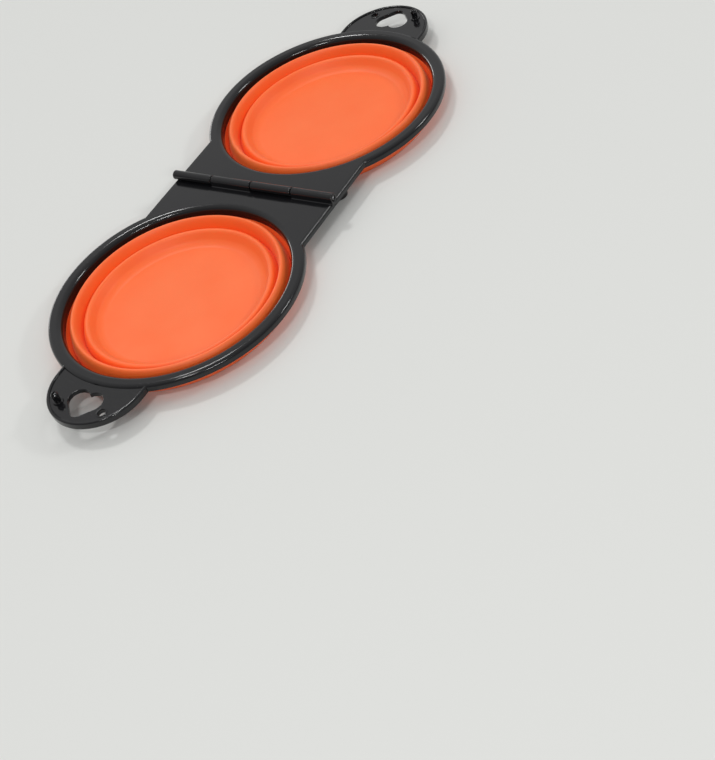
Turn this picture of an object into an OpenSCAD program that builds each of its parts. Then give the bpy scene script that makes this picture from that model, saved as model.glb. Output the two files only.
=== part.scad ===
// Twin travel bowl: two hinged ring frames, each holding a silicone bowl that folds flat.
// Lengths are in mm. The hinge runs along X above the middle and Z points up from the table.
// It is drawn open flat with both bowls collapsed, standing on their floors and on two feet.

/* [Frame ring] */
// Outer radius of each ring
ring_r = 68; // [66:0.5:71]
// Width of the ring seen from above
ring_w = 7.5; // [7.2:0.1:8]
// Height of the frame's top face above the table
top_h = 12.4; // [12:0.1:14]
// Wall of the ring's moulding
ring_t = 1.8; // [1.6:0.1:2]
// Height of the ring's outer wall
ring_h = 4; // [3.8:0.1:4.4]
// Height of the ring's inner wall
inner_h = 6.5; // [6:0.1:7]
// Rounding of the outer upper edge
round_out = 2.2; // [1.8:0.1:2.4]
// Rounding of the inner upper edge
round_in = 3; // [2.4:0.1:3.2]

/* [Bridge and hinge] */
// Distance from the hinge to the outside of each ring
ring_off = 8.1; // [7:0.1:12]
// Width of the bridge between ring and hinge
bridge_w = 103; // [98:1:104]
// Thickness of the bridge's deck
deck_t = 2.4; // [2:0.1:2.8]
// Height of the walls round bridge and tab
skirt_h = 4.3; // [4:0.1:5]
// Thickness of those walls
skirt_t = 1.7; // [1.4:0.1:2]
// Rounding of the bridge's long upper edges
deck_round = 1.6; // [1:0.1:1.8]
// Length of the whole barrel
barrel_l = 105; // [100:1:108]
// Radius of the barrel
barrel_r = 2.5; // [2.3:0.1:3]
// Height of the hinge axis above the frame's top face
axis_up = 2.35; // [2.2:0.05:2.8]
// Knuckles on each half
knuckles = 2; // [1:1:3]
// Radius of the pin
pin_r = 1.1; // [0.9:0.05:1.2]
// How far the pin's ends lie inside the barrel's ends
pin_in = 0.8; // [0.4:0.1:2]

/* [Tab] */
// Radius of the tab's round end
tab_r = 26.8; // [24:0.2:28]
// How far the middle of that round end lies inside the ring's outside
tab_in = 1.7; // [0:0.1:4]
// Depth of the tab's face below the ring's top
tab_drop = 1.3; // [1:0.1:1.6]
// Height of the bead round the tab
bead_h = 0.4; // [0.2:0.1:0.6]
// Thickness of the tab's plate
tab_t = 2.2; // [2:0.1:2.6]
// Distance from the round end's middle to the heart's lobes
heart_out = 11.3; // [9.7:0.1:12.7]
// Radius of the heart's lobes
lobe_r = 5.7; // [5:0.1:6]
// Sideways place of each lobe's middle
lobe_x = 4.3; // [3.6:0.1:4.6]
// Radius of the heart's tip
heart_tip_r = 3.5; // [2.5:0.1:4]
// Distance from the lobes' middles to the middle of the tip
heart_tip_out = 7.2; // [6:0.1:8]

/* [Snap peg] */
// Sideways place of peg and hole
peg_x = 13.9; // [12:0.1:15]
// Distance of peg and hole from the level of the round end's middle
peg_out = 15.8; // [13.7:0.1:17.7]
// Radius of the peg's shaft
peg_r = 1.7; // [1.5:0.1:1.8]
// Height of the peg above the tab's face
peg_h = 5.8; // [5:0.1:6]
// How far the barb stands out from the shaft
barb = 0.2; // [0.1:0.05:0.25]
// Width of the slot that splits the peg
slot_w = 0.8; // [0.6:0.1:1]

/* [Feet] */
// Radius of the foot under each bridge
foot_r = 4.5; // [4:0.1:5]
// Sideways place of the foot
foot_x = 40; // [39:0.5:42]

/* [Silicone bowl] */
// Thickness of the folding walls
wall_t = 1.4; // [1.2:0.1:1.5]
// Thickness of the floor
floor_t = 1.3; // [1:0.1:1.6]
// Width of the fixed edge between ring and outer valley
edge_w = 1.8; // [1.6:0.1:2.2]
// Width of the flat heel on which that edge stands
heel_w = 0.6; // [0.3:0.1:0.8]
// Width of the fold from the outer valley to the outer crest
outer_w = 3.3; // [3:0.1:3.5]
// Width of the band from the outer crest to the inner valley
middle_w = 3.2; // [3:0.1:3.4]
// Width of the fold from the inner valley to the inner crest
inner_w = 3.3; // [3:0.1:3.5]
// Width of the wall from the inner crest to the floor
cup_w = 4.4; // [4:0.1:6]
// Outer radius of the rounded crests
crest_round = 2.1; // [1.8:0.1:2.2]
// Depth of the outer crest below the frame's top
crest_1_drop = 2.9; // [2.5:0.1:4]
// Depth of the inner crest below the frame's top
crest_2_drop = 5.3; // [5:0.1:5.8]
// Slit left between bands that move past each other
seam = 0.2; // [0.1:0.05:0.3]

/* [Hidden] */
$fn = 96;
black = [0.08, 0.08, 0.085];
orange = [0.98, 0.42, 0.22];
steel = [0.72, 0.72, 0.74];
// Overrun of cuts past a face
over = 1;
// Steps in each rounded corner
corner_n = 8;
// Steps round each lobe of the heart
heart_n = 16;
quarter = 90;
half_turn = 180;

// Clearances
pin_fit = 0.05;
knuckle_gap = 0.3;
end_gap = 0.3;
swing_gap = 0.35;
lip_fit = 0.1;
hole_fit = 0.2;
foot_gap = 0.2;

// Heights above the table
axis_z = top_h + axis_up;
deck_z = top_h - deck_t;
skirt_z = top_h - skirt_h;
rib_z = skirt_z + deck_t / 4;
tab_z = top_h - tab_drop;
tab_low = tab_z - tab_t;

// Ring
reach = ring_r + ring_off;
ring_in = ring_r - ring_w;
shell_r = ring_r - ring_t;
channel_r = ring_in + ring_t - lip_fit;
ledge = 0.7;
ledge_h = 0.4;
neck_r = shell_r - ledge;

// Bridge
mid_wall = ring_r - ring_t / 2;
bridge_l = reach - sqrt(mid_wall * mid_wall - bridge_w * bridge_w / 4);
knuckle_l = barrel_l / knuckles / 2;
hinge_wall = skirt_t + deck_t / 2;
rib_t = 1.4;
rib_x = bridge_w / 4;

// Tab: distances from the hinge
tab_mid = reach + ring_r - tab_in;
heart_mid = tab_mid + heart_out;
peg_mid = tab_mid + peg_out;
tab_rib_x = 18;
collar = 1.6;
peg_base_r = peg_r + 1;
peg_base_h = 0.7;
barb_h = 1.2;
hole_r = peg_r + barb + hole_fit;
foot_round = 1.2;

// The foot stands just clear of the bowl's lip
foot_from = shell_r + foot_r + foot_gap;
foot_y = reach - sqrt(foot_from * foot_from - foot_x * foot_x);

// Bowl: radii of the crests and valleys, and heights of the middles of their roundings
valley_1_r = ring_in - edge_w;
crest_1_r = valley_1_r - outer_w;
valley_2_r = crest_1_r - middle_w;
crest_2_r = valley_2_r - inner_w;
floor_r = crest_2_r - cup_w;
half_t = wall_t / 2;
crest_mid = crest_round - half_t;
crest_in = crest_round - wall_t;
valley_z = half_t;
crest_1_z = top_h - crest_1_drop - crest_round;
crest_2_z = top_h - crest_2_drop - crest_round;
floor_mid = floor_t / 2;

// Points on an arc about a middle, from one angle to another
function arc(mid, r, from, to, n = corner_n) = [for (i = [0 : n])
    mid + r * [cos(from + (to - from) * i / n), sin(from + (to - from) * i / n)]];

// Lean of a wall that starts round a circle and ends this far beside and below its middle
function lean(w, drop, r = 0) = atan2(w, drop) - asin(r / sqrt(w * w + drop * drop));

// The ring: a rounded cap with an outer and an inner wall over the channel for the bowl's lip
function ring_points() = concat(
    [[ring_r, top_h - ring_h]],
    arc([ring_r - round_out, top_h - round_out], round_out, 0, quarter),
    arc([ring_in + round_in, top_h - round_in], round_in, quarter, half_turn),
    [[ring_in, top_h - inner_h], [ring_in + ring_t, top_h - inner_h]],
    [[ring_in + ring_t, top_h - ring_t], [shell_r, top_h - ring_t]],
    [[shell_r, top_h - ring_h + ledge_h * 2], [neck_r, top_h - ring_h + ledge_h], [neck_r, top_h - ring_h]]);

// One folding wall from its rounded crest to its valley; side is 1 where the valley lies outside
function fold_points(crest_r, crest_z, valley_r, side) =
    let (w = abs(valley_r - crest_r) - seam,
        tilt = lean(w, crest_z - valley_z, crest_mid),
        pts = concat(
            arc([0, crest_z], crest_round, quarter, tilt),
            [[w, valley_z + half_t / sin(tilt)]],
            arc([w, valley_z], half_t, quarter * 3, half_turn + tilt),
            arc([0, crest_z], crest_in, tilt, quarter)))
    [for (p = pts) [crest_r + side * (p[0] + seam / 2), p[1]]];

// The last wall and the floor
function cup_points() =
    let (top_mid = crest_2_r - seam / 2,
        tilt = lean(top_mid - floor_r, crest_2_z - floor_mid, crest_mid),
        bend = (half_t - floor_mid * sin(tilt)) / cos(tilt))
    concat(
        [[0, 0], [floor_r + bend, 0]],
        arc([top_mid, crest_2_z], crest_in, half_turn - tilt, quarter),
        arc([top_mid, crest_2_z], crest_round, quarter, half_turn - tilt),
        [[floor_r - bend, floor_t], [0, floor_t]]);

// The lip in the ring's channel and the fixed wall that tapers down to the outer valley
function rim_points() =
    let (mid = valley_1_r + seam / 2,
        heel_r = mid + heel_w,
        lip_z = top_h - ring_t - lip_fit,
        lean_out = lean(neck_r - heel_r, top_h - ring_h - valley_z),
        inside = valley_1_r + (ring_in - valley_1_r) / 2)
    concat(
        [[neck_r - lip_fit, top_h - ring_h], [neck_r - lip_fit, top_h - ring_h + ledge_h]],
        [[shell_r - lip_fit, top_h - ring_h + ledge_h * 2], [shell_r - lip_fit, lip_z]],
        [[channel_r + lip_fit * 2, lip_z], [channel_r + lip_fit * 2, top_h - inner_h - lip_fit]],
        [[ring_in, top_h - inner_h - lip_fit], [inside, valley_z + wall_t * 2], [mid, valley_z + half_t]],
        [[mid, 0]], arc([heel_r, valley_z], half_t, -quarter, -lean_out));

// Right side of the heart from cleft to tip, grown by a margin
function heart_side(grow) =
    let (gap = sqrt(lobe_x * lobe_x + heart_tip_out * heart_tip_out),
        turn = atan2(-heart_tip_out, -lobe_x) + acos((lobe_r - heart_tip_r) / gap),
        cleft = acos(-lobe_x / (lobe_r + grow)))
    concat(
        arc([lobe_x, 0], lobe_r + grow, cleft, turn, heart_n),
        arc([0, -heart_tip_out], heart_tip_r + grow, turn, -quarter, heart_n / 2));

module heart(grow) {
    side = heart_side(grow);
    polygon(concat(side, [for (i = [len(side) - 2 : -1 : 1]) [-side[i][0], side[i][1]]]));
}

// Tab outline, drawn in by a margin
module tab_outline(inset) {
    translate([0, -tab_mid]) circle(r = tab_r - inset);
    translate([-tab_r + inset, -tab_mid]) square([2 * (tab_r - inset), tab_mid - reach - mid_wall / 2]);
}

// Clears the ring's inside
module ring_core() {
    translate([0, -reach, -over]) cylinder(r = shell_r, h = axis_z + over * 2);
}

module bridge() {
    difference() {
        translate([-bridge_w / 2, -bridge_l, skirt_z])
            cube([bridge_w, bridge_l - end_gap / 2, skirt_h]);
        translate([skirt_t - bridge_w / 2, -bridge_l - over, skirt_z - over])
            cube([bridge_w - 2 * skirt_t, bridge_l + over - hinge_wall, skirt_h - deck_t + over]);
        for (s = [-1, 1]) deck_edge(s);
        for (i = [0 : knuckles - 1]) swing_cut(i);
        ring_core();
    }
    difference() {
        for (s = [-1, 0, 1]) translate([s * rib_x - rib_t / 2, -bridge_l, rib_z])
            cube([rib_t, bridge_l - hinge_wall / 2, deck_z + deck_t / 2 - rib_z]);
        ring_core();
    }
}

// Rounds one long upper edge of the bridge
module deck_edge(s) {
    mid = s * (bridge_w / 2 - deck_round);
    side = s > 0 ? 0 : -deck_round - over;
    translate([mid, 0, top_h - deck_round]) rotate([quarter, 0, 0]) translate([0, 0, -over])
        linear_extrude(bridge_l + over * 2) difference() {
            translate([side, 0]) square([deck_round + over, deck_round + over]);
            circle(r = deck_round);
        }
}

// Room for the other half's knuckle
module swing_cut(i) {
    translate([knuckle_l * (2 * i - knuckles), 0, axis_z]) rotate([0, quarter, 0])
        cylinder(r = barrel_r + swing_gap, h = knuckle_l);
}

module knuckle(i) {
    from = knuckle_l * (2 * i + 1 - knuckles) + knuckle_gap / 2;
    len = knuckle_l - knuckle_gap;
    translate([from, 0, axis_z]) rotate([0, quarter, 0]) cylinder(r = barrel_r, h = len);
    translate([from, -barrel_r, deck_z]) cube([len, barrel_r - end_gap / 2, axis_z - deck_z]);
}

module tab() {
    difference() {
        translate([0, 0, skirt_z]) linear_extrude(tab_z + bead_h - skirt_z) tab_outline(0);
        translate([0, 0, tab_z]) linear_extrude(over) tab_outline(skirt_t);
        translate([0, 0, skirt_z - over]) linear_extrude(tab_low - skirt_z + over) tab_outline(skirt_t);
        ring_core();
    }
    translate([0, -heart_mid, rib_z]) linear_extrude(tab_z - rib_z) heart(collar);
    translate([peg_x, -peg_mid, rib_z]) cylinder(r = hole_r + collar, h = tab_z - rib_z);
    for (s = [-1, 1]) translate([s * tab_rib_x - rib_t / 2, -peg_mid, rib_z])
        cube([rib_t, peg_out + rib_t, tab_z - rib_z - tab_t / 2]);
}

// Split peg with a barb
module peg() {
    top = tab_z + peg_h;
    difference() {
        rotate_extrude() polygon([[0, rib_z], [peg_base_r, rib_z], [peg_base_r, tab_z + peg_base_h],
            [peg_r, tab_z + peg_base_h], [peg_r, top - 2 * barb_h], [peg_r + barb, top - barb_h * 1.5],
            [peg_r + barb, top - barb_h], [peg_r - barb_h / 2, top], [0, top]]);
        translate([-slot_w / 2, -peg_base_r, tab_z + peg_base_h + slot_w])
            cube([slot_w, peg_base_r * 2, peg_h]);
    }
}

module foot() {
    rotate_extrude() polygon(concat([[0, 0]],
        arc([foot_r - foot_round, foot_round], foot_round, -quarter, 0),
        [[foot_r, deck_z + deck_t / 2], [0, deck_z + deck_t / 2]]));
}

// One frame moulding, lying on the near side of the hinge
module frame_half() {
    difference() {
        union() {
            translate([0, -reach, 0]) rotate_extrude() polygon(ring_points());
            bridge();
            for (i = [0 : knuckles - 1]) knuckle(i);
            tab();
            translate([-peg_x, -peg_mid, 0]) peg();
            translate([-foot_x, -foot_y, 0]) foot();
        }
        translate([-barrel_l, 0, axis_z]) rotate([0, quarter, 0])
            cylinder(r = pin_r + pin_fit, h = barrel_l * 2);
        translate([0, -heart_mid, 0]) linear_extrude(axis_z) heart(0);
        translate([peg_x, -peg_mid, 0]) cylinder(r = hole_r, h = axis_z);
    }
}

module far_side() {
    rotate([0, 0, half_turn]) children();
}

module at_bowl() {
    translate([0, -reach, 0]) children();
}

module near_frame() {
    color(black) frame_half();
}

module far_frame() {
    color(black) far_side() frame_half();
}

module hinge_pin() {
    color(steel) translate([pin_in - barrel_l / 2, 0, axis_z]) rotate([0, quarter, 0])
        cylinder(r = pin_r, h = barrel_l - 2 * pin_in);
}

module rim_band() {
    color(orange) at_bowl() rotate_extrude() polygon(rim_points());
}

module outer_fold() {
    color(orange) at_bowl() rotate_extrude()
        polygon(fold_points(crest_1_r, crest_1_z, valley_1_r, 1));
}

module middle_band() {
    color(orange) at_bowl() rotate_extrude()
        polygon(fold_points(crest_1_r, crest_1_z, valley_2_r, -1));
}

module inner_fold() {
    color(orange) at_bowl() rotate_extrude()
        polygon(fold_points(crest_2_r, crest_2_z, valley_2_r, 1));
}

module floor_cup() {
    color(orange) at_bowl() rotate_extrude() polygon(cup_points());
}

near_frame();
far_frame();
hinge_pin();
rim_band();  // near_rim_band
outer_fold();  // near_outer_fold
middle_band();  // near_middle_band
inner_fold();  // near_inner_fold
floor_cup();  // near_floor_cup
far_side() rim_band();  // far_rim_band
far_side() outer_fold();  // far_outer_fold
far_side() middle_band();  // far_middle_band
far_side() inner_fold();  // far_inner_fold
far_side() floor_cup();  // far_floor_cup
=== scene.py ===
# Builds the looks of a twin travel bowl: two glossy frame mouldings, a steel hinge pin and two folding bowls.
# Lengths are in metres. The hinge runs along X, the near bowl lies towards -Y and Z points up from the table.
import math

import bmesh
import bpy
from bmesh.types import BMEdge, BMFace, BMVert
from mathutils import Matrix, Quaternion, Vector


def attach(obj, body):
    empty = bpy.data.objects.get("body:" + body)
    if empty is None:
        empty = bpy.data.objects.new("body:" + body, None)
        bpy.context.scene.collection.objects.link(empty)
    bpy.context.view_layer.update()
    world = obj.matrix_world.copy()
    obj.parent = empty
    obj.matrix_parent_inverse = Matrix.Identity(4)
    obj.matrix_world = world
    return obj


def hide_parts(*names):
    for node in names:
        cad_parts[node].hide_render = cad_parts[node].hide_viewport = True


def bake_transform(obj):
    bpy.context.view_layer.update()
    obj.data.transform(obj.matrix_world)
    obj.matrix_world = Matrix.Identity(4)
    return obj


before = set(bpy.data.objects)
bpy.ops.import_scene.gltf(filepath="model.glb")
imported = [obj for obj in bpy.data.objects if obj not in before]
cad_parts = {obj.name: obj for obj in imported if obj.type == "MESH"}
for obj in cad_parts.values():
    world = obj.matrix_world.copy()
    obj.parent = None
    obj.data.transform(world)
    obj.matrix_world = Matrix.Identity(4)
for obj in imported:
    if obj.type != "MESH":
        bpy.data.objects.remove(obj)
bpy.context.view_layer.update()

bl_info = {
    "name": "Twin travel bowl",
    "version": (1, 0, 0),
    "blender": (4, 5, 0),
    "location": "3D View > Sidebar > Travel bowl",
    "description": "Builds a twin travel bowl whose silicone bowls fold flat in hinged frames",
    "category": "Object",
}

HALVES = ("near", "far")
PLASTIC_SLOT = "frame_plastic"
SILICONE_SLOT = "silicone"
PIN_SLOT = "pin_steel"

MM = 0.001
# Steps of a whole turn, for the large round parts and for the small ones
TURN_STEPS = 240
SMALL_STEPS = 64
# Segments of a rounded corner, each with the radius below which it is used
CORNER_STEPS = ((0.5 * MM, 3), (2 * MM, 8), (math.inf, 16))
# Points nearer to one another than this are one point
MERGE = 0.004 * MM
# Faces that meet at a larger angle than this keep a sharp edge between them
SHARP = math.radians(38)
# Usual rounding of a moulded edge
SOFT_EDGE = 0.3 * MM
# Height of each slope of the snap ledge, as a share of how far the ledge stands out
LEDGE_RISE = 0.6
# A fold's slopes are longer than this, and get this many points to bend at
BENDING_SLOPE = 2 * MM
BENDING_POINTS = 12

# The floor's reach from the middle to each side
FLOOR_REACH = 4
# The dome is brightest this way; its level rises from the first to the second value between these two leans
DOME_WAY = (-0.42, 0.42, 0.80)
DOME_LEANS = (-0.1, 0.9)
DOME_LEVELS = (0.29, 0.67)
# Place, width, height and watts of each softbox; all of them face the table under the hinge's middle
SOFTBOXES = {
    "key_softbox": ((0.40, -0.96, 1.42), 0.3, 0.06, 5.0),
    "right_softbox": ((1.18, 0.93, 0.90), 0.35, 0.15, 4.0),
    "front_softbox": ((1.22, -0.94, 0.84), 0.4, 0.035, 4.4),
    "left_softbox": ((-1.55, 0.52, 0.15), 0.7, 0.2, 2.0),
    "top_softbox": ((-0.72, 0.45, 1.58), 0.3, 0.15, 6.5),
}
# The photo's view: where the camera stands, what it looks at, how far it leans, and its lens and sensor in mm
CAMERA_SEAT = (0.4649, -0.4412, 0.4514)
CAMERA_TARGET = (0.1282, -0.1078, 0.0124)
CAMERA_ROLL = math.radians(-21.83)
CAMERA_LENS = 69.25
CAMERA_SENSOR = 36


def length(name, description, millimetres):
    return bpy.props.FloatProperty(
        name=name, description=description, default=millimetres * MM, min=0,
        unit="LENGTH", subtype="DISTANCE", precision=5,
    )


def linear(text):
    """A hex sRGB colour such as #FC6A3C as linear red, green, blue and alpha."""
    shares = [int(text[i : i + 2], 16) / 255 for i in (1, 3, 5)]
    return (*[s / 12.92 if s <= 0.04045 else ((s + 0.055) / 1.055) ** 2.4 for s in shares], 1.0)


def colour(name, description, text):
    return bpy.props.FloatVectorProperty(
        name=name, description=description, default=linear(text), size=4, min=0, max=1, subtype="COLOR"
    )


class FrameSizes(bpy.types.PropertyGroup):
    """Sizes of one frame moulding, its hinge and its tab."""

    ring_radius: length("Ring radius", "Outer radius of the ring", 68)
    ring_width: length("Ring width", "Width of the ring seen from above", 7.5)
    top: length("Top", "Height of the ring's top face above the table", 12.4)
    wall: length("Wall", "Wall of the ring's moulding", 1.8)
    outer_drop: length("Outer wall", "Height of the ring's outer wall", 4)
    inner_drop: length("Inner wall", "Height of the ring's inner wall", 6.5)
    outer_round: length("Outer rounding", "Rounding of the ring's outer upper edge", 2.2)
    inner_round: length("Inner rounding", "Rounding of the ring's inner upper edge", 3)
    ledge: length("Ledge", "How far the snap ledge stands into the channel", 0.7)
    reach: length("Reach", "Distance from the hinge to the middle of a ring", 76.1)
    bridge_width: length("Bridge width", "Width of the bridge between ring and hinge", 103)
    deck: length("Deck", "Thickness of the bridge's deck", 1.8)
    side: length("Bridge side", "Height of the walls round the bridge", 3.1)
    skirt: length("Skirt", "Height of the wall round the tab", 4.3)
    skirt_wall: length("Skirt wall", "Thickness of the walls round bridge and tab", 1.7)
    deck_round: length("Deck rounding", "Rounding of the bridge's long upper edges", 1.6)
    barrel_length: length("Barrel length", "Length of the whole hinge barrel", 105)
    barrel_radius: length("Barrel radius", "Radius of the hinge barrel", 2.5)
    axis: length("Axis height", "Height of the hinge axis above the table", 14.75)
    knuckle_gap: length("Knuckle gap", "Slit between neighbouring knuckles", 0.55)
    end_gap: length("Bridge gap", "Slit between the two bridges under the barrel", 0.3)
    swing_gap: length("Swing gap", "Room round a knuckle where it passes the other bridge", 0.35)
    pin_radius: length("Pin radius", "Radius of the hinge pin", 1.1)
    pin_fit: length("Pin fit", "Room round the pin in the knuckles", 0.05)
    pin_inset: length("Pin inset", "How far the pin's ends lie inside the barrel's ends", 0.8)
    tab_radius: length("Tab radius", "Radius of the tab's round end", 26.8)
    tab_reach: length("Tab reach", "Distance from the ring's middle to the middle of the tab's end", 66.3)
    tab_drop: length("Tab drop", "Depth of the tab's face below the ring's top", 1.3)
    tab_plate: length("Tab plate", "Thickness of the tab's plate", 2.2)
    bead: length("Bead", "Height of the bead round the tab", 0.75)
    heart_reach: length("Heart reach", "Distance from the ring's middle to the heart's lobes", 77.6)
    lobe_radius: length("Lobe radius", "Radius of the heart's lobes", 5.7)
    lobe_side: length("Lobe side", "Sideways place of each lobe's middle", 4.3)
    tip_radius: length("Tip radius", "Radius of the heart's tip", 4.4)
    tip_reach: length("Tip reach", "Distance from the lobes' middles to the middle of the tip", 6.3)
    peg_side: length("Peg side", "Sideways place of the snap peg and of the snap hole", 13.9)
    peg_reach: length("Peg reach", "Distance of peg and hole from the ring's middle", 82.1)
    peg_radius: length("Peg radius", "Radius of the peg's shaft", 1.7)
    peg_height: length("Peg height", "Height of the peg above the tab's face", 5.8)
    collar: length("Collar", "Height of the collar round the peg", 0.7)
    barb: length("Barb", "How far the peg's barb stands out", 0.2)
    slot: length("Slot", "Width of the slot that splits the peg", 0.8)
    hole_radius: length("Hole radius", "Radius of the snap hole", 2.1)
    foot_radius: length("Foot radius", "Radius of the foot under each bridge", 4.5)
    foot_round: length("Foot rounding", "Rounding of the foot's lower edge", 1.2)
    foot_side: length("Foot side", "Sideways place of the foot", 41)
    foot_reach: length("Foot reach", "Distance of the foot from the hinge", 17)


class BowlSizes(bpy.types.PropertyGroup):
    """Sizes of one silicone bowl, collapsed."""

    wall: length("Wall", "Thickness of the folding walls", 1.4)
    floor: length("Floor", "Thickness of the floor", 1.3)
    valley_1: length("Outer valley", "Radius of the outer valley", 58.7)
    crest_1: length("Outer crest", "Radius of the outer crest", 55.4)
    valley_2: length("Inner valley", "Radius of the inner valley", 52.2)
    crest_2: length("Inner crest", "Radius of the inner crest", 48.9)
    floor_radius: length("Floor radius", "Radius where the last wall meets the floor", 44.5)
    heel: length("Heel", "Width of the flat heel outside the outer valley", 0.6)
    crest_round: length("Crest rounding", "Outer radius of the rounded crests", 2.1)
    crest_1_drop: length("Outer crest depth", "Depth of the outer crest below the ring's top", 2.9)
    crest_2_drop: length("Inner crest depth", "Depth of the inner crest below the ring's top", 5.3)
    floor_round: length("Floor rounding", "Rounding between the last wall and the floor", 5.5)
    lip_fit: length("Lip fit", "Room round the lip in the ring's channel", 0.1)


class BowlColours(bpy.types.PropertyGroup):
    """Colours of the finishes and the stage."""

    plastic: colour("Frame plastic", "Black pigment of the frames", "#121214")
    dust: colour("Dust", "Dust on the frames", "#8C8C8A")
    silicone: colour("Silicone", "Orange pigment of the bowls", "#FF702B")
    silicone_deep: colour("Silicone in clouds", "Fuller orange where the pigment is thicker", "#FB6120")
    steel: colour("Pin steel", "Drawn steel of the pin", "#B9B9BD")
    floor: colour("Floor", "Pale studio floor", "#DCDDDA")
    sky: colour("Light", "Colour of the studio's light", "#FFFFFF")


GROUPS = {"travel_frame": FrameSizes, "travel_bowl": BowlSizes, "travel_colours": BowlColours}


def sizes():
    return bpy.context.scene.travel_frame, bpy.context.scene.travel_bowl


def colours():
    return bpy.context.scene.travel_colours


# Meshes

def only(kind, geom):
    return [g for g in geom if isinstance(g, kind)]


def whole(bm):
    return bm.verts[:] + bm.edges[:] + bm.faces[:]


def draw_line(bm, corners, closed=True):
    """Draws a line through (across, up, rounding) corners in the XZ plane, each rounded by its own radius."""
    places = [Vector((across, 0, up)) for across, up, _ in corners]
    verts = [bm.verts.new(p) for p in places]
    count = len(verts)
    for i in range(count if closed else count - 1):
        bm.edges.new((verts[i], verts[(i + 1) % count]))
    for i, (_, _, rounding) in enumerate(corners):
        if rounding:
            here, before, after = places[i], places[i - 1], places[(i + 1) % count]
            corner = (before - here).angle(after - here)
            bmesh.ops.bevel(
                bm, geom=[verts[i]], offset=rounding / math.tan(corner / 2), offset_type="OFFSET",
                segments=next(steps for limit, steps in CORNER_STEPS if rounding < limit),
                profile=0.5, affect="VERTICES", material=-1,
            )


def place(bm, matrix, geom=None):
    bmesh.ops.transform(bm, matrix=matrix, verts=geom or bm.verts[:])


def turn(bm, centre, axis=(0, 0, 1), steps=TURN_STEPS, angle=2 * math.pi, geom=None):
    """Sweeps the drawn line round an axis and gives its last place back."""
    full = abs(angle) > 2 * math.pi - 0.001
    return bmesh.ops.spin(
        bm, geom=geom or bm.verts[:] + bm.edges[:], cent=centre, axis=axis, angle=angle, steps=steps,
        use_merge=full, use_normal_flip=False, use_duplicate=False,
    )["geom_last"]


def lathe(corners, middle, steps=TURN_STEPS, closed=True):
    """A new mesh: the corners' line turned once round the upright line through a middle."""
    bm = bmesh.new()
    draw_line(bm, corners, closed)
    place(bm, Matrix.Translation(middle))
    turn(bm, middle, steps=steps)
    return bm


def lathe_on_hinge(corners, s, closed=True):
    """A new mesh: the corners' line, "across" from the hinge's axis and "up" along it, turned once round it."""
    bm = bmesh.new()
    draw_line(bm, corners, closed)
    place(bm, Matrix(((0, 0, 1, 0), (0, 1, 0, 0), (1, 0, 0, s.axis), (0, 0, 0, 1))))
    turn(bm, (0, 0, s.axis), axis=(1, 0, 0), steps=SMALL_STEPS)
    return bm


def stretch(bm, edges, move):
    """Pulls edges along by a move and gives the new edges back."""
    made = bmesh.ops.extrude_edge_only(bm, edges=edges)["geom"]
    bmesh.ops.translate(bm, vec=move, verts=only(BMVert, made))
    return only(BMEdge, made)


def push(bm, faces, move, keep=False):
    """Moves faces with walls behind them and gives them back; with keep, a copy closes the place they left."""
    made = bmesh.ops.extrude_face_region(bm, geom=faces, use_keep_orig=keep)["geom"]
    bmesh.ops.translate(bm, vec=move, verts=only(BMVert, made))
    return only(BMFace, made)


def soften(bm, edges, rounding, steps):
    bmesh.ops.bevel(bm, geom=edges, offset=rounding, offset_type="OFFSET", segments=steps, profile=0.5,
                    affect="EDGES", material=-1)


def cut(bm, spot, normal, clear=False):
    """Cuts the whole mesh by a plane; with clear, the side that the normal points to goes."""
    bmesh.ops.bisect_plane(bm, geom=whole(bm), dist=MERGE, plane_co=spot, plane_no=normal, clear_outer=clear)


def merge(bm):
    bmesh.ops.remove_doubles(bm, verts=bm.verts, dist=MERGE)


def close_holes(bm):
    bmesh.ops.holes_fill(bm, edges=[e for e in bm.edges if e.is_boundary], sides=0)


def join(bm, part):
    """Adds another mesh to this one and frees it."""
    carrier = bpy.data.meshes.new("carrier")
    part.to_mesh(carrier)
    part.free()
    bm.from_mesh(carrier)
    bpy.data.meshes.remove(carrier)


def new_object(name, data):
    made = bpy.data.objects.new(name, data)
    bpy.context.collection.objects.link(made)
    return made


def finish_piece(bm, name, half, slot, nodes=()):
    """Turns the far half's piece round, makes the object, gives it its shading and its slot's finish, and hides the
    given CAD nodes.
    """
    merge(bm)
    if half == "far":
        place(bm, Matrix.Rotation(math.pi, 4, "Z"))
    bmesh.ops.recalc_face_normals(bm, faces=bm.faces)
    for edge in bm.edges:
        edge.smooth = len(edge.link_faces) == 2 and edge.calc_face_angle(0) < SHARP
    for face in bm.faces:
        face.smooth = True
    mesh = bpy.data.meshes.new(name)
    bm.to_mesh(mesh)
    bm.free()
    mesh.materials.append(finish(*FINISHES[slot]))
    piece = new_object(name, mesh)
    shading = piece.modifiers.new("Even shading", "WEIGHTED_NORMAL")
    shading.keep_sharp = True
    if nodes:
        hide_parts(*nodes)
    return piece


# Places on the near half

def ring_middle(s):
    return Vector((0, -s.reach, 0))


def beside_ring(s, side, away):
    """A place sideways of the ring's middle and further away from the hinge."""
    return ring_middle(s) + Vector((side, -away, 0))


def tab_face(s):
    return s.top - s.tab_drop


def channel(s):
    """The ring's inner radius, the outer wall's inner radius and lower end, and the rise of the snap ledge."""
    return s.ring_radius - s.ring_width, s.ring_radius - s.wall, s.top - s.outer_drop, s.ledge * LEDGE_RISE


# Finishes

def add(tree, kind, inputs=None, **settings):
    """Adds a shader node with its settings; an input is a value or another node's output."""
    node = tree.nodes.new("ShaderNode" + kind)
    for key, value in settings.items():
        setattr(node, key, value)
    for key, value in (inputs or {}).items():
        if isinstance(value, bpy.types.NodeSocket):
            tree.links.new(value, node.inputs[key])
        else:
            node.inputs[key].default_value = value
    return node


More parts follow.
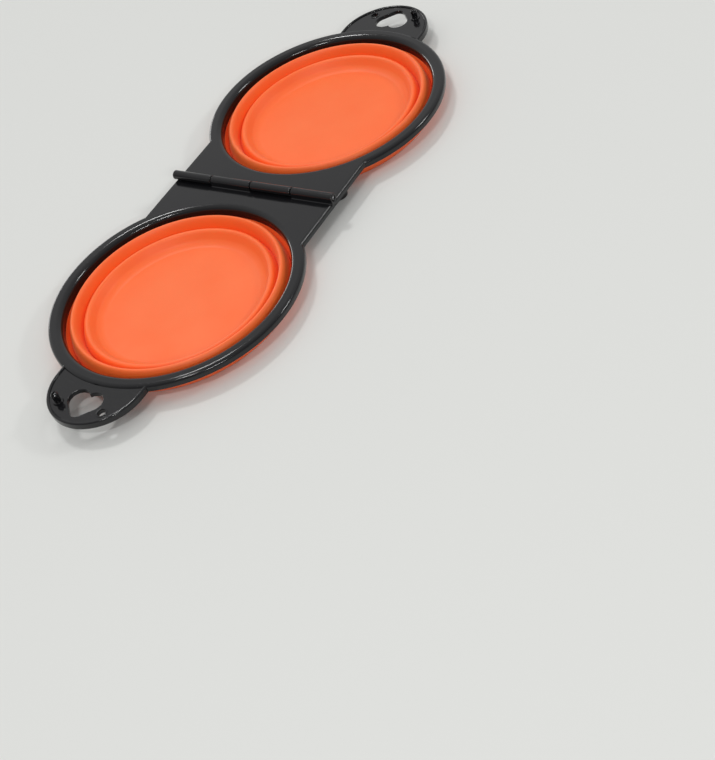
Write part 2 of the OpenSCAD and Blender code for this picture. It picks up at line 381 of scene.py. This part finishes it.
def noise(tree, where, size, detail, roughness=0.5):
    """Clouds of about this size."""
    inputs = {"Vector": where, "Scale": 1 / size, "Detail": detail, "Roughness": roughness}
    return add(tree, "TexNoise", inputs).outputs["Fac"]


def spread(tree, value, seen, wanted, **settings):
    """Takes a pattern from the range that it is seen in to the wanted range."""
    inputs = {"Value": value, "From Min": seen[0], "From Max": seen[1], "To Min": wanted[0], "To Max": wanted[1]}
    return add(tree, "MapRange", inputs, **settings).outputs[0]


def tint(tree, share, first, second):
    inputs = {"Factor": share, "A": first[:], "B": second[:]}
    return add(tree, "Mix", inputs, data_type="RGBA").outputs["Result"]


def bump(tree, height, strength, distance):
    return add(tree, "Bump", {"Height": height, "Strength": strength, "Distance": distance}).outputs[0]


def black_abs(tree, where):
    """Black ABS from a polished mould: a deep gloss, faint waves from cooling, handling scuffs, a little dust."""
    # Sink waves of about 25 mm, far flatter than they are wide
    waves = noise(tree, where, 25 * MM, 1.0)
    # Handling scuffs: thin lines about 6 mm long, with patches where there are none
    scuff_place = add(tree, "Mapping", {"Vector": where, "Rotation": (0, 0, 0.6), "Scale": (1, 9, 1)})
    scuffs = noise(tree, scuff_place.outputs[0], 6 * MM, 6.0, 0.7)
    # Dust specks of 0.3 to 0.5 mm in cells of 5 mm, larger than real ones so that they show
    specks = add(tree, "TexVoronoi", {"Vector": where, "Scale": 1 / (5 * MM)}, feature="F1")
    dust = spread(tree, specks.outputs["Distance"], (0.03, 0.05), (1.0, 0.0))
    thin_dust = add(tree, "Math", {0: dust, 1: 0.10}, operation="MULTIPLY")
    return add(tree, "BsdfPrincipled", {
        "Base Color": tint(tree, thin_dust.outputs[0], colours().plastic, colours().dust),
        "Roughness": spread(tree, scuffs, (0.45, 0.75), (0.10, 0.24)),
        "IOR": 1.54, "Specular IOR Level": 0.4,
        "Normal": bump(tree, waves, 0.25, 0.12 * MM),
    }).outputs[0]


def orange_silicone(tree, where):
    """Orange food-grade silicone from a fine blasted mould: satin, a little see-through at thin edges."""
    # Pigment clouds of about 30 mm; the powdery bloom lies in the same clouds
    clouds = noise(tree, where, 30 * MM, 3.0)
    share = spread(tree, clouds, (0.3, 0.7), (0.0, 0.35))
    # Grain of the blasted mould: 0.1 mm on a real one, drawn at 0.35 mm so that it shows
    grain = noise(tree, where, 0.35 * MM, 2.0)
    return add(tree, "BsdfPrincipled", {
        "Base Color": tint(tree, share, colours().silicone, colours().silicone_deep),
        "Roughness": spread(tree, clouds, (0.3, 0.7), (0.44, 0.56)),
        "IOR": 1.43, "Specular IOR Level": 0.68,
        "Subsurface Weight": 0.2, "Subsurface Radius": (1.0, 0.35, 0.12), "Subsurface Scale": 1.2 * MM,
        "Sheen Weight": 0.05, "Sheen Roughness": 0.4,
        "Normal": bump(tree, grain, 0.25, 0.02 * MM),
    }).outputs[0]


def drawn_steel(tree, where):
    """Drawn steel wire: bright metal with fine streaks along its length."""
    # Die marks run along X; they are 0.2 mm apart round the wire
    along = add(tree, "Mapping", {"Vector": where, "Scale": (0.02, 1, 1)})
    streaks = noise(tree, along.outputs[0], 0.2 * MM, 3.0)
    return add(tree, "BsdfPrincipled", {
        "Base Color": colours().steel[:], "Metallic": 1.0,
        "Roughness": spread(tree, streaks, (0.3, 0.7), (0.22, 0.4)),
        "Normal": bump(tree, streaks, 0.2, 0.01 * MM),
    }).outputs[0]


def floor_paint(tree, where):
    """Matt studio paint with a faint roller mottle of about 8 mm."""
    mottle = noise(tree, where, 8 * MM, 3.0)
    return add(tree, "BsdfPrincipled", {
        "Base Color": colours().floor[:], "Roughness": spread(tree, mottle, (0, 1), (0.75, 0.9)),
        "Specular IOR Level": 0.2,
    }).outputs[0]


# Each slot's material name and the function that lays out its nodes
FINISHES = {
    PLASTIC_SLOT: ("black_abs_polished_mould", black_abs),
    SILICONE_SLOT: ("orange_silicone_satin", orange_silicone),
    PIN_SLOT: ("drawn_steel_wire", drawn_steel),
}


def finish(name, lay_out):
    """The material of this name; the first call makes it from Object coordinates."""
    made = bpy.data.materials.get(name)
    if made is None:
        made = bpy.data.materials.new(name)
        made.use_nodes = True
        tree = made.node_tree
        tree.nodes.clear()
        shader = lay_out(tree, add(tree, "TexCoord").outputs["Object"])
        add(tree, "OutputMaterial", {"Surface": shader})
    return made


# Pieces

class TRAVELBOWL_OT_rings(bpy.types.Operator):
    """Turns the rounded cap, the two walls and the lip channel of each ring"""

    bl_idname = "travelbowl.rings"
    bl_label = "Frame rings"

    def execute(self, context):
        s, _ = sizes()
        inner, shell, low, rise = channel(s)
        roof, end = s.top - s.wall, s.top - s.inner_drop
        corners = [
            (s.ring_radius, low, SOFT_EDGE), (s.ring_radius, s.top, s.outer_round), (inner, s.top, s.inner_round),
            (inner, end, SOFT_EDGE), (inner + s.wall, end, SOFT_EDGE), (inner + s.wall, roof, 0), (shell, roof, 0),
            (shell, low + 2 * rise, 0), (shell - s.ledge, low + rise, 0), (shell - s.ledge, low, 0),
        ]
        for half in HALVES:
            bm = lathe(corners, ring_middle(s))
            ring = finish_piece(bm, f"{half}_ring", half, PLASTIC_SLOT, [f"{half}_frame"])
            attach(ring, f"{half}_half")
        return {"FINISHED"}


class TRAVELBOWL_OT_bridges(bpy.types.Operator):
    """Makes the bridge between ring and hinge: deck, walls, ribs and the cut-backs under the other's knuckles"""

    bl_idname = "travelbowl.bridges"
    bl_label = "Bridges"

    def execute(self, context):
        s, _ = sizes()
        for half in HALVES:
            bm = bmesh.new()
            self.deck(bm, s)
            self.cut_back(bm, s)
            self.ribs(bm, s)
            bridge = finish_piece(bm, f"{half}_bridge", half, PLASTIC_SLOT)
            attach(bridge, f"{half}_half")
        return {"FINISHED"}

    def deck(self, bm, s):
        """Sweeps an edge along the ring, pulls it to the hinge, makes a slab of it and hollows that from below."""
        # The deck starts where the ring's outer rounding starts, so that both tops run into one another
        seat = s.ring_radius - s.outer_round + 0.05 * MM
        side = s.bridge_width / 2
        swing = math.asin(side / seat)
        bm.verts.new(ring_middle(s) + Vector((-side, seat * math.cos(swing), s.top)))
        turn(bm, ring_middle(s), steps=SMALL_STEPS, angle=-2 * swing)
        front = stretch(bm, bm.edges[:], Vector())
        for vert in {v for edge in front for v in edge.verts}:
            vert.co.y = -s.end_gap / 2
        low = push(bm, bm.faces[:], Vector((0, 0, -s.side)), keep=True)
        bmesh.ops.inset_region(
            bm, faces=low, thickness=s.skirt_wall, depth=0, use_even_offset=True, use_boundary=True)
        push(bm, low, Vector((0, 0, s.side - s.deck)))
        upper = [e for e in bm.edges if all(v.co.z > s.top - MERGE for v in e.verts)]
        long_edges = [e for e in upper if all(abs(abs(v.co.x) - side) < MERGE for v in e.verts)]
        soften(bm, long_edges, s.deck_round, 6)

    def cut_back(self, bm, s):
        """Lowers the hinge edge of the deck under the other half's knuckles, with a short slope to each side."""
        swing = s.barrel_radius + s.swing_gap
        drop = s.axis - s.top
        back = -math.sqrt(swing * swing - drop * drop)
        low = s.axis - math.sqrt(swing * swing - s.end_gap * s.end_gap / 4)
        knuckle = s.barrel_length / 4
        slope = 0.12 * MM
        for x in (-knuckle - slope, -knuckle, 0, slope, knuckle - slope, knuckle):
            cut(bm, (x, 0, 0), (1, 0, 0))
        cut(bm, (0, back, 0), (0, 1, 0))
        for vert in bm.verts:
            x, y, z = vert.co
            under = x < MERGE - knuckle - slope or slope - MERGE < x < knuckle - slope + MERGE
            if under and y > -s.end_gap / 2 - MERGE and z > low:
                vert.co.z = low

    def ribs(self, bm, s):
        """Stands three ribs under the deck, a little less high than the walls round it."""
        thick = 1.4 * MM
        bottom = s.top - s.side + s.deck / 6
        height = s.top - s.deck / 2 - bottom
        front = -(s.skirt_wall + s.deck / 2) / 2
        for x in (-s.bridge_width / 4, 0, s.bridge_width / 4):
            back = -s.reach + math.sqrt((s.ring_radius - s.outer_round) ** 2 - x * x) - MM
            size = Matrix.Diagonal((thick, front - back, height, 1))
            spot = Matrix.Translation((x, (front + back) / 2, bottom + height / 2))
            rib = set(bmesh.ops.create_cube(bm, size=1, matrix=spot @ size)["verts"])
            soften(bm, [e for e in bm.edges if all(v in rib and v.co.z < bottom + MERGE for v in e.verts)],
                   SOFT_EDGE, 2)


class TRAVELBOWL_OT_knuckles(bpy.types.Operator):
    """Turns the hinge knuckles with rounded ends and stands each on its foot along the bridge"""

    bl_idname = "travelbowl.knuckles"
    bl_label = "Hinge knuckles"

    def execute(self, context):
        s, _ = sizes()
        pitch = s.barrel_length / 4
        bore = s.pin_radius + s.pin_fit
        end_round, bore_round = 0.6 * MM, 0.15 * MM
        for half in HALVES:
            for number, start in enumerate((-pitch, pitch), 1):
                left, right = start + s.knuckle_gap / 2, start + pitch - s.knuckle_gap / 2
                bm = lathe_on_hinge([
                    (bore, left, bore_round), (s.barrel_radius, left, end_round),
                    (s.barrel_radius, right, end_round), (bore, right, bore_round)], s)
                join(bm, self.web(s, left, right))
                knuckle = finish_piece(bm, f"{half}_knuckle_{number}", half, PLASTIC_SLOT)
                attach(knuckle, f"{half}_half")
        return {"FINISHED"}

    def web(self, s, left, right):
        """The foot between barrel and deck, with a fillet along the barrel."""
        fillet = 0.5 * MM
        # Faces that would lie in one another are kept this far apart
        hair = 0.01 * MM
        inside = s.top - s.deck / 2
        outer, toe = -s.barrel_radius + hair, -s.barrel_radius - fillet * 1.02
        web = bmesh.new()
        draw_line(web, [
            (-s.end_gap / 2, inside, 0), (-s.end_gap / 2, s.axis, 0), (outer, s.axis, 0),
            (outer, s.top + hair, fillet), (toe, s.top + hair, 0), (toe, inside, 0)])
        bmesh.ops.contextual_create(web, geom=web.edges[:])
        # The line was drawn across and up: lay "across" along Y
        place(web, Matrix(((0, 1, 0, left), (1, 0, 0, 0), (0, 0, 1, 0), (0, 0, 0, 1))))
        push(web, web.faces[:], Vector((right - left, 0, 0)), keep=True)
        return web


class TRAVELBOWL_OT_pin(bpy.types.Operator):
    """Turns the hinge pin with chamfered ends"""

    bl_idname = "travelbowl.pin"
    bl_label = "Hinge pin"

    def execute(self, context):
        s, _ = sizes()
        end = s.barrel_length / 2 - s.pin_inset
        neck, shoulder = s.pin_radius - SOFT_EDGE, end - SOFT_EDGE
        bm = lathe_on_hinge([
            (0, -end, 0), (neck, -end, 0), (s.pin_radius, -shoulder, 0),
            (s.pin_radius, shoulder, 0), (neck, end, 0), (0, end, 0)], s, closed=False)
        pin = finish_piece(bm, "steel_pin", "near", PIN_SLOT, ["hinge_pin"])
        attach(pin, "near_half")
        return {"FINISHED"}


class TRAVELBOWL_OT_tabs(bpy.types.Operator):
    """Makes each tab: recessed plate, bead and wall round its edge, heart-shaped opening and snap hole"""

    bl_idname = "travelbowl.tabs"
    bl_label = "Tabs"

    def execute(self, context):
        s, _ = sizes()
        for half in HALVES:
            bm = bmesh.new()
            self.rim(bm, s)
            join(bm, self.heart(s))
            join(bm, self.snap_hole(s))
            merge(bm)
            for level in (tab_face(s), tab_face(s) - s.tab_plate):
                self.plate(bm, level)
            close_holes(bm)
            tab = finish_piece(bm, f"{half}_tab", half, PLASTIC_SLOT)
            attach(tab, f"{half}_half")
        return {"FINISHED"}

    def rim(self, bm, s):
        """Sweeps wall and bead round the tab's end and back to the ring; the plate's edge ends inside the ring."""
        face = tab_face(s)
        under = face - s.tab_plate
        crown = face + s.bead
        low = s.top - s.skirt
        inside = s.tab_radius - s.skirt_wall
        middle = beside_ring(s, 0, s.tab_reach)
        draw_line(bm, [
            (inside, under, 0), (inside, low, 0.2 * MM), (s.tab_radius, low, SOFT_EDGE),
            (s.tab_radius, crown, 0.9 * MM), (inside, crown, 0.7 * MM), (inside, face, 0)], closed=False)
        place(bm, Matrix.Translation(middle))
        start = bm.edges[:]
        end = only(BMEdge, turn(bm, middle, steps=SMALL_STEPS * 2, angle=-math.pi))
        seat = s.ring_radius - s.wall + 0.2 * MM
        pull = s.tab_reach - math.sqrt(seat * seat - inside * inside)
        for edges in (start, end):
            stretch(bm, edges, Vector((0, pull, 0)))
        swing = math.asin(inside / seat)
        for level in (face, under):
            first = bm.verts.new(ring_middle(s) + Vector((inside, -seat * math.cos(swing), level)))
            turn(bm, ring_middle(s), steps=SMALL_STEPS, angle=-2 * swing, geom=[first])

    def heart(self, s):
        """Sweeps the opening's rounded wall round one lobe and the tip, and mirrors it."""
        face = tab_face(s)
        soft = 0.35 * MM
        # The sweep starts and ends this far past the mirror plane, in radians, and is cut there
        past_lobe, past_tip = 0.02, 0.05
        lobe = beside_ring(s, s.lobe_side, s.heart_reach)
        tip = beside_ring(s, 0, s.heart_reach + s.tip_reach)
        away = tip - lobe
        turned = math.atan2(away.y, away.x) + math.acos((s.lobe_radius - s.tip_radius) / away.length)
        start = math.acos(-s.lobe_side / s.lobe_radius) + past_lobe
        side = bmesh.new()
        draw_line(side, [
            (s.lobe_radius, face - s.tab_plate, 0), (s.lobe_radius, face, soft), (s.lobe_radius + soft, face, 0),
        ], closed=False)
        place(side, Matrix.Translation(lobe) @ Matrix.Rotation(start, 4, "Z"))
        last = turn(side, lobe, steps=SMALL_STEPS, angle=turned - start)
        shift = away + Vector((math.cos(turned), math.sin(turned), 0)) * (s.tip_radius - s.lobe_radius)
        end = stretch(side, only(BMEdge, last), shift)
        end += dict.fromkeys(v for e in end for v in e.verts)
        turn(side, tip, steps=SMALL_STEPS // 2, angle=-math.pi / 2 - turned - past_tip, geom=end)
        cut(side, (0, 0, 0), (-1, 0, 0), clear=True)
        bmesh.ops.mirror(side, geom=whole(side), merge_dist=MERGE, axis="X")
        return side

    def snap_hole(self, s):
        """The hole's wall with a low collar round its mouth."""
        face = tab_face(s)
        crown, wide, soft = face + 0.25 * MM, s.hole_radius + 0.8 * MM, 0.2 * MM
        return lathe([
            (s.hole_radius, face - s.tab_plate, 0), (s.hole_radius, crown, soft), (wide, crown, soft),
            (wide, face, 0)], beside_ring(s, s.peg_side, s.peg_reach), SMALL_STEPS, closed=False)

    def plate(self, bm, level):
        """Fills the plate's face at one level between its outline, the heart and the snap hole."""
        open_edges = [e for e in bm.edges if len(e.link_faces) < 2]
        edges = [e for e in open_edges if all(abs(v.co.z - level) < MERGE for v in e.verts)]
        bmesh.ops.triangle_fill(bm, edges=edges, use_beauty=True, use_dissolve=False)


class TRAVELBOWL_OT_snap_pegs(bpy.types.Operator):
    """Turns each snap peg with its collar and barb and splits it by a slot"""

    bl_idname = "travelbowl.snap_pegs"
    bl_label = "Snap pegs"

    def execute(self, context):
        s, _ = sizes()
        middle = beside_ring(s, -s.peg_side, s.peg_reach)
        collar = tab_face(s) + s.collar
        for half in HALVES:
            bm = self.shaft(s, middle, collar)
            join(bm, self.base(s, middle, collar))
            peg = finish_piece(bm, f"{half}_snap_peg", half, PLASTIC_SLOT)
            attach(peg, f"{half}_half")
        return {"FINISHED"}

    def shaft(self, s, middle, collar):
        """The shaft with its barb: one side of the slot is cut out of the turned shape and set down twice."""
        crown = tab_face(s) + s.peg_height
        barb_low, barb_high = crown - 2.4 * MM, crown - 1.2 * MM
        flare = 0.6 * MM
        wide = s.peg_radius + s.barb
        bm = lathe([
            (0, collar, 0), (s.peg_radius, collar, 0), (s.peg_radius, barb_low, SOFT_EDGE),
            (wide, barb_low + flare, SOFT_EDGE), (wide, barb_high, SOFT_EDGE),
            (s.peg_radius - flare, crown, SOFT_EDGE), (0, crown, 0)], middle, SMALL_STEPS, closed=False)
        merge(bm)
        cut(bm, middle + Vector((s.slot / 2, 0, 0)), (-1, 0, 0), clear=True)
        close_holes(bm)
        other = bmesh.ops.duplicate(bm, geom=whole(bm))["geom"]
        flip = Matrix.Translation(middle) @ Matrix.Rotation(math.pi, 4, "Z") @ Matrix.Translation(-middle)
        place(bm, flip, only(BMVert, other))
        return bm

    def base(self, s, middle, collar):
        """The collar, and the core that closes the slot's lower end."""
        wide, low, core = s.peg_radius + MM, tab_face(s) - 1.5 * MM, collar + s.slot
        return lathe([
            (0, low, 0), (wide, low, 0), (wide, collar, 0.25 * MM), (s.peg_radius, collar + 0.02 * MM, 0),
            (s.peg_radius, core, 0.1 * MM), (0, core, 0)], middle, SMALL_STEPS, closed=False)


class TRAVELBOWL_OT_feet(bpy.types.Operator):
    """Turns the round foot under each bridge"""

    bl_idname = "travelbowl.feet"
    bl_label = "Feet"

    def execute(self, context):
        s, _ = sizes()
        inside = s.top - s.deck / 2
        corners = [(0, 0, 0), (s.foot_radius, 0, s.foot_round), (s.foot_radius, inside, 0), (0, inside, 0)]
        for half in HALVES:
            bm = lathe(corners, Vector((-s.foot_side, -s.foot_reach, 0)), SMALL_STEPS, closed=False)
            foot = finish_piece(bm, f"{half}_foot", half, PLASTIC_SLOT)
            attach(foot, f"{half}_half")
        return {"FINISHED"}


class TRAVELBOWL_OT_silicone_bowls(bpy.types.Operator):
    """Turns the five zones of each silicone bowl and attaches the three bands to their bodies; the two folds get
    extra points along their slopes but are not attached
    """

    bl_idname = "travelbowl.silicone_bowls"
    bl_label = "Silicone bowls"

    def execute(self, context):
        s, b = sizes()
        half_wall = b.wall / 2
        # Heights of the middles of the crests' roundings, and the leans of the two folds that end there
        crest_1 = s.top - b.crest_1_drop - b.crest_round
        crest_2 = s.top - b.crest_2_drop - b.crest_round
        lean_1 = self.lean(b, b.valley_1 - b.crest_1, crest_1 - half_wall)
        lean_2 = self.lean(b, b.valley_2 - b.crest_2, crest_2 - half_wall)
        profiles = {
            "rim_band": self.rim(s, b),
            "outer_fold": self.fold(b, b.crest_1, crest_1, b.valley_1, None),
            "middle_band": self.fold(b, b.crest_1, crest_1, b.valley_2, lean_1),
            "inner_fold": self.fold(b, b.crest_2, crest_2, b.valley_2, None),
            "floor_cup": self.cup(b, crest_2, lean_2),
        }
        bodies = {"rim_band": "half", "middle_band": "middle", "floor_cup": "floor"}
        folds = {"outer_fold": ("half", "middle", crest_1), "inner_fold": ("middle", "floor", crest_2)}
        for half in HALVES:
            for zone, corners in profiles.items():
                bm = bmesh.new()
                draw_line(bm, corners, closed=zone != "floor_cup")
                if zone in folds:
                    slopes = [e for e in bm.edges if e.calc_length() > BENDING_SLOPE]
                    bmesh.ops.subdivide_edges(bm, edges=slopes, cuts=BENDING_POINTS)
                place(bm, Matrix.Translation(ring_middle(s)))
                turn(bm, ring_middle(s))
                piece = finish_piece(bm, f"{half}_silicone_{zone}", half, SILICONE_SLOT, [f"{half}_{zone}"])
                if zone in folds:
                    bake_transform(piece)
                else:
                    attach(piece, f"{half}_{bodies[zone]}")
        return {"FINISHED"}

    def lean(self, b, across, drop):
        """Lean of a wall that leaves a crest's rounding and ends this far beside and below its middle."""
        return math.atan2(across, drop) - math.asin((b.crest_round - b.wall / 2) / math.hypot(across, drop))

    def rim(self, s, b):
        """The lip that fills the ring's channel, and the tapering wall down to the outer valley's heel."""
        inner, shell, low, rise = channel(s)
        neck = shell - s.ledge - b.lip_fit
        bead = shell - b.lip_fit
        groove = inner + s.wall + b.lip_fit
        lip = s.top - s.wall - b.lip_fit
        under = s.top - s.inner_drop - b.lip_fit
        return [
            (neck, low, 0), (neck, low + rise, 0), (bead, low + 2 * rise, 0), (bead, lip, SOFT_EDGE),
            (groove, lip, SOFT_EDGE), (groove, under, 0), (inner, under, 0.25 * MM),
            ((inner + b.valley_1) / 2, b.wall * 2.5, 1.5 * MM), (b.valley_1, b.wall, 0), (b.valley_1, 0, 0),
            (b.valley_1 + b.heel + b.wall * 0.35, 0, 0.6 * MM),
        ]

    def fold(self, b, crest_radius, crest, valley_radius, cap_lean):
        """One wall from crest to valley. The wall that carries the crest's cap is given its neighbour's lean."""
        out = 1 if valley_radius > crest_radius else -1
        half_wall = b.wall / 2
        across = abs(valley_radius - crest_radius)
        tilt = self.lean(b, across, crest - half_wall)
        bottom = across - half_wall * (1 - math.sin(tilt)) / math.cos(tilt)
        valley = [(across, half_wall + half_wall / math.sin(tilt), 0), (across, 0, 0), (bottom, 0, half_wall * 0.9)]
        if cap_lean is None:
            above, below = [self.touch(r, crest, tilt) for r in (b.crest_round, b.crest_round - b.wall)]
            points = [above] + valley + [below]
        else:
            over, under = self.cap(b, crest, tilt, cap_lean)
            points = over + valley + under
        return [(crest_radius + out * x, z, rounding) for x, z, rounding in points]

    def cup(self, b, crest, cap_lean):
        """The last wall with the inner crest's cap, and the floor."""
        tilt = self.lean(b, b.crest_2 - b.floor_radius, crest - b.floor / 2)
        shift = (b.wall / 2 - b.floor / 2 * math.sin(tilt)) / math.cos(tilt)
        over, under = self.cap(b, crest, tilt, cap_lean)
        cap = [(b.crest_2 - x, z, rounding) for x, z, rounding in under + over]
        return [(0, 0, 0), (b.floor_radius + shift, 0, b.floor_round * 0.8), *cap,
                (b.floor_radius - shift, b.floor, b.floor_round), (0, b.floor, 0)]

    def touch(self, radius, crest, tilt):
        """Where a wall's face leaves the circle round the crest's middle."""
        return radius * math.cos(tilt), crest + radius * math.sin(tilt), 0

    def cap(self, b, crest, tilt, cap_lean):
        """Corners of the crest's upper and lower face: the neighbour's wall ends there, the own wall goes on."""
        # The tangents at both ends of the rounding cross above the crest
        open_angle = (math.pi - tilt - cap_lean) / 2
        middle = tilt + open_angle
        faces = []
        for radius in (b.crest_round, b.crest_round - b.wall):
            across, height, _ = self.touch(radius, crest, cap_lean)
            reach = radius / math.cos(open_angle)
            # A hair less than the whole radius, so that the rounding's ends stay apart from the corners beside it
            peak = (reach * math.cos(middle), crest + reach * math.sin(middle), radius * 0.995)
            faces.append([(-across, height, 0), peak])
        return faces[0], faces[1][::-1]


# Stage

class TRAVELBOWL_OT_stage(bpy.types.Operator):
    """Lays the floor, sets the lights and the view, and places the camera"""

    bl_idname = "travelbowl.stage"
    bl_label = "Stage"

    def execute(self, context):
        scene = context.scene
        scene.view_settings.view_transform = "Standard"
        self.floor()
        self.light(scene)
        self.camera(scene)
        return {"FINISHED"}

    def floor(self):
        """A pale floor, open right under the two bowls, so that a bowl that opens downwards shows its depth."""
        s, b = sizes()
        bm = bmesh.new()
        bmesh.ops.create_grid(bm, x_segments=1, y_segments=1, size=FLOOR_REACH)
        bmesh.ops.delete(bm, geom=bm.faces[:], context="FACES_ONLY")
        for reach in (-s.reach, s.reach):
            bmesh.ops.create_circle(bm, cap_ends=False, radius=b.valley_1 + b.heel / 3, segments=TURN_STEPS,
                                    matrix=Matrix.Translation((0, reach, 0)))
        bmesh.ops.triangle_fill(bm, edges=bm.edges[:], use_beauty=True, use_dissolve=False, normal=(0, 0, 1))
        mesh = bpy.data.meshes.new("studio_floor")
        bm.to_mesh(mesh)
        bm.free()
        mesh.materials.append(finish("matt_floor_paint", floor_paint))
        floor = new_object("studio_floor", mesh)

    def light(self, scene):
        """Soft light from a dome, and softboxes that draw lines along the round edges."""
        world = bpy.data.worlds.new("studio_dome")
        scene.world = world
        world.use_nodes = True
        tree = world.node_tree
        tree.nodes.clear()
        way = add(tree, "TexCoord").outputs["Generated"]
        lean = add(tree, "VectorMath", {0: way, 1: DOME_WAY}, operation="DOT_PRODUCT").outputs["Value"]
        level = spread(tree, lean, DOME_LEANS, DOME_LEVELS, interpolation_type="SMOOTHSTEP")
        dome = add(tree, "Background", {"Color": colours().sky[:], "Strength": level})
        backdrop = add(tree, "Background", {"Color": colours().floor[:], "Strength": 1.0})
        seen = add(tree, "LightPath").outputs["Is Camera Ray"]
        mixed = add(tree, "MixShader", {0: seen, 1: dome.outputs[0], 2: backdrop.outputs[0]})
        add(tree, "OutputWorld", {"Surface": mixed.outputs[0]})
        for name, (spot, wide, high, watts) in SOFTBOXES.items():
            data = bpy.data.lights.new(name, "AREA")
            data.shape, data.size, data.size_y, data.energy = "RECTANGLE", wide, high, watts
            data.color = colours().sky[:3]
            self.aim(new_object(name, data), spot, (0, 0, 0))

    def camera(self, scene):
        data = bpy.data.cameras.new("photo_camera")
        data.sensor_width = CAMERA_SENSOR
        data.lens = CAMERA_LENS
        data.clip_start, data.clip_end = 0.05, 20
        scene.camera = new_object("photo_camera", data)
        self.aim(scene.camera, CAMERA_SEAT, CAMERA_TARGET, CAMERA_ROLL)

    def aim(self, thing, seat, target, roll=0):
        """Puts a lamp or a camera at its seat and makes it look at the target."""
        look = (Vector(target) - Vector(seat)).to_track_quat("-Z", "Y")
        thing.location = seat
        thing.rotation_mode = "QUATERNION"
        thing.rotation_quaternion = look @ Quaternion((0, 0, 1), roll)


class TRAVELBOWL_PT_panel(bpy.types.Panel):
    """Lists the pieces of the travel bowl in the sidebar"""

    bl_idname = "TRAVELBOWL_PT_panel"
    bl_label = "Travel bowl"
    bl_space_type = "VIEW_3D"
    bl_region_type = "UI"
    bl_category = "Travel bowl"

    def draw(self, context):
        for operator in OPERATORS:
            self.layout.operator(operator.bl_idname)
        for name, group in GROUPS.items():
            box = self.layout.box()
            for value in group.__annotations__:
                box.prop(getattr(context.scene, name), value)


OPERATORS = (
    TRAVELBOWL_OT_rings, TRAVELBOWL_OT_bridges, TRAVELBOWL_OT_knuckles, TRAVELBOWL_OT_pin, TRAVELBOWL_OT_tabs,
    TRAVELBOWL_OT_snap_pegs, TRAVELBOWL_OT_feet, TRAVELBOWL_OT_silicone_bowls, TRAVELBOWL_OT_stage,
)
CLASSES = (*GROUPS.values(), *OPERATORS, TRAVELBOWL_PT_panel)


def register():
    for made in CLASSES:
        bpy.utils.register_class(made)
    for name, group in GROUPS.items():
        setattr(bpy.types.Scene, name, bpy.props.PointerProperty(type=group))


def unregister():
    for name in GROUPS:
        delattr(bpy.types.Scene, name)
    for made in reversed(CLASSES):
        bpy.utils.unregister_class(made)


def main():
    register()
    bpy.ops.travelbowl.rings()
    bpy.ops.travelbowl.bridges()
    bpy.ops.travelbowl.knuckles()
    bpy.ops.travelbowl.pin()
    bpy.ops.travelbowl.tabs()
    bpy.ops.travelbowl.snap_pegs()
    bpy.ops.travelbowl.feet()
    bpy.ops.travelbowl.silicone_bowls()
    bpy.ops.travelbowl.stage()


if __name__ == "__main__":
    main()
